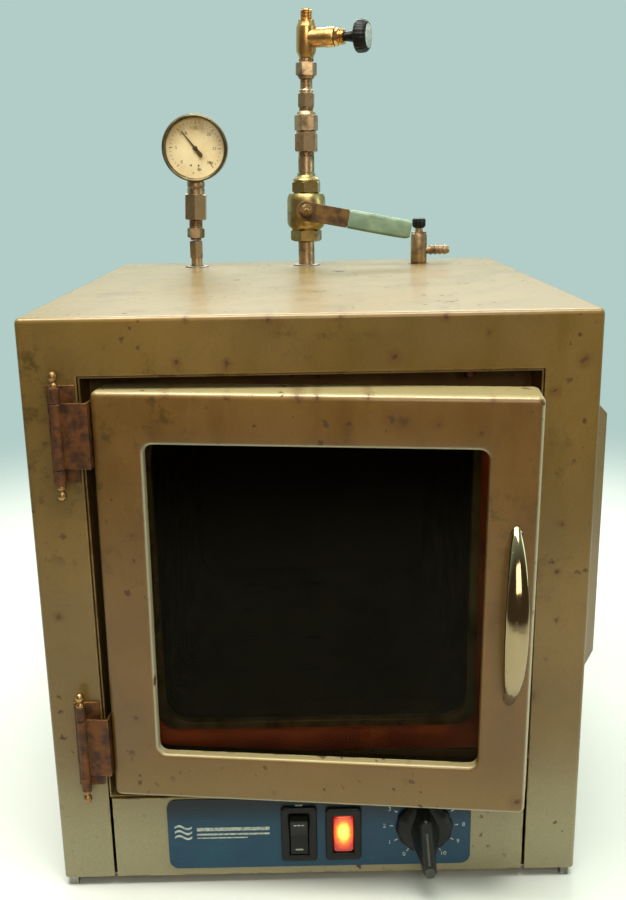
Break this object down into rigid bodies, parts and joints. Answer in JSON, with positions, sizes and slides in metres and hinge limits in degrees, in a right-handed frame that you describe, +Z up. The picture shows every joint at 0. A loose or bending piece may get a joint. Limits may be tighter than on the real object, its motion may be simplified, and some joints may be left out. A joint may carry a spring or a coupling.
{
  "type": "vacuum oven",
  "caption": "Bench vacuum oven: painted steel cabinet, left-hinged glazed door, control strip below, and a gauge, valved vacuum line and vent valve on the roof.",
  "frame": {"origin": "middle of the footprint box of the whole object (door ajar as at rest, handle and power inlet included), on the surface that it stands on", "axes": "+Z up, +Y from the door towards the back, +X to the right as seen by someone facing the door"},
  "size_m": [0.4323, 0.5326, 0.7281],
  "materials": {
    "cabinet_paint": "aged khaki enamel, semi-gloss, chipped and rust-specked along the edges",
    "door_paint": "aged brown-khaki enamel, semi-gloss, worn lips",
    "bare_steel": "bare mill-finish steel",
    "rusty_steel": "steel with brown rust",
    "chrome": "polished chrome",
    "brass": "turned brass, bright with dull patches",
    "aged_brass": "dull brown oxidised brass",
    "blue_label": "blue screen-printed plate, satin",
    "black_plastic": "moulded black plastic",
    "lamp_lens": "translucent amber lens, lit",
    "red_silicone": "red silicone rubber",
    "green_vinyl": "dipped pale green vinyl",
    "cream_dial": "aged cream dial paint",
    "clear_glass": "tempered plate glass",
    "mineral_wool": "mineral-wool blanket"
  },
  "bodies": {
    "cabinet": {"cabinet_shell": "cabinet_paint", "back_panel": "cabinet_paint", "control_panel": "cabinet_paint", "access_cover": "cabinet_paint", "recess_liner": "door_paint", "base_pan": "bare_steel", "base_runner_left": "bare_steel", "base_runner_right": "bare_steel", "chamber_body": "bare_steel", "chamber_flange": "bare_steel", "thermostat_body": "bare_steel", "catch_stud": "rusty_steel", "heater_jacket": "rusty_steel", "hinge_leaf_fixed_upper": "rusty_steel", "hinge_leaf_fixed_lower": "rusty_steel", "hinge_pin_upper": "rusty_steel", "hinge_pin_lower": "rusty_steel", "ball_valve_body": "brass", "needle_valve_body": "brass", "packing_nut": "brass", "thermostat_bulb": "brass", "gauge_pipe": "aged_brass", "gauge_bushing": "aged_brass", "gauge_coupling": "aged_brass", "gauge_case": "aged_brass", "gauge_bezel": "aged_brass", "vacuum_pipe": "aged_brass", "line_nipple": "aged_brass", "union_nut_lower": "aged_brass", "union_nut_upper": "aged_brass", "line_reducer": "aged_brass", "tube_nut": "aged_brass", "vent_pipe": "aged_brass", "vent_valve_body": "aged_brass", "label_plate": "blue_label", "power_inlet": "black_plastic", "rocker_bezel": "black_plastic", "pilot_bezel": "black_plastic", "pilot_lens": "lamp_lens", "door_gasket": "red_silicone", "gauge_dial": "cream_dial", "gauge_lens": "clear_glass", "insulation_blanket": "mineral_wool"},
    "door": {"door_shell": "door_paint", "window_pane": "clear_glass", "door_inner_frame": "bare_steel", "vacuum_glass": "clear_glass", "door_handle": "chrome", "hinge_leaf_door_upper": "rusty_steel", "hinge_leaf_door_lower": "rusty_steel"},
    "valve_handle": {"valve_lever": "rusty_steel", "lever_grip": "green_vinyl", "lever_nut": "rusty_steel"},
    "rocker": {"power_rocker": "black_plastic"},
    "knob": {"thermostat_knob": "black_plastic"},
    "needle": {"gauge_needle": "black_plastic"},
    "valve_knob": {"needle_valve_knob": "black_plastic"},
    "bleed_knob": {"vent_knob": "black_plastic"},
    "shelf": {"chamber_shelf": "bare_steel"}
  },
  "joints": [
    {"name": "door_hinge", "type": "hinge", "parent": "cabinet", "child": "door", "pos_m": [-0.189, -0.20628, 0.251], "axis": [0, 0, -1], "range_deg": [-5.7, 115]},
    {"name": "ball_valve_turn", "type": "hinge", "parent": "cabinet", "child": "valve_handle", "pos_m": [-0.00652, 0.17952, 0.52699], "axis": [0, -1, 0], "range_deg": [0, 90]},
    {"name": "power_rock", "type": "hinge", "parent": "cabinet", "child": "rocker", "pos_m": [-0.022, -0.19528, 0.047], "axis": [1, 0, 0], "range_deg": [-16, 0]},
    {"name": "thermostat_turn", "type": "hinge", "parent": "cabinet", "child": "knob", "pos_m": [0.0795, -0.19868, 0.052], "axis": [0, 1, 0], "range_deg": [-150, 150]},
    {"name": "gauge_pointer", "type": "hinge", "parent": "cabinet", "child": "needle", "pos_m": [-0.12241, 0.20042, 0.59291], "axis": [0, 1, 0], "range_deg": [-95, 175], "stiffness_Nm_per_rad": 0.001},
    {"name": "needle_valve_turn", "type": "hinge", "parent": "cabinet", "child": "valve_knob", "pos_m": [-0.0035, 0.20772, 0.69997], "axis": [0.9454, -0.3256, -0.0165], "range_deg": [0, 900]},
    {"name": "vent_turn", "type": "hinge", "parent": "cabinet", "child": "bleed_knob", "pos_m": [0.115, 0.20772, 0.469], "axis": [0, 0, 1], "range_deg": [0, 540]},
    {"name": "shelf_slide", "type": "slide", "parent": "cabinet", "child": "shelf", "axis": [0, -1, 0], "range_m": [0, 0.018]}
  ]
}
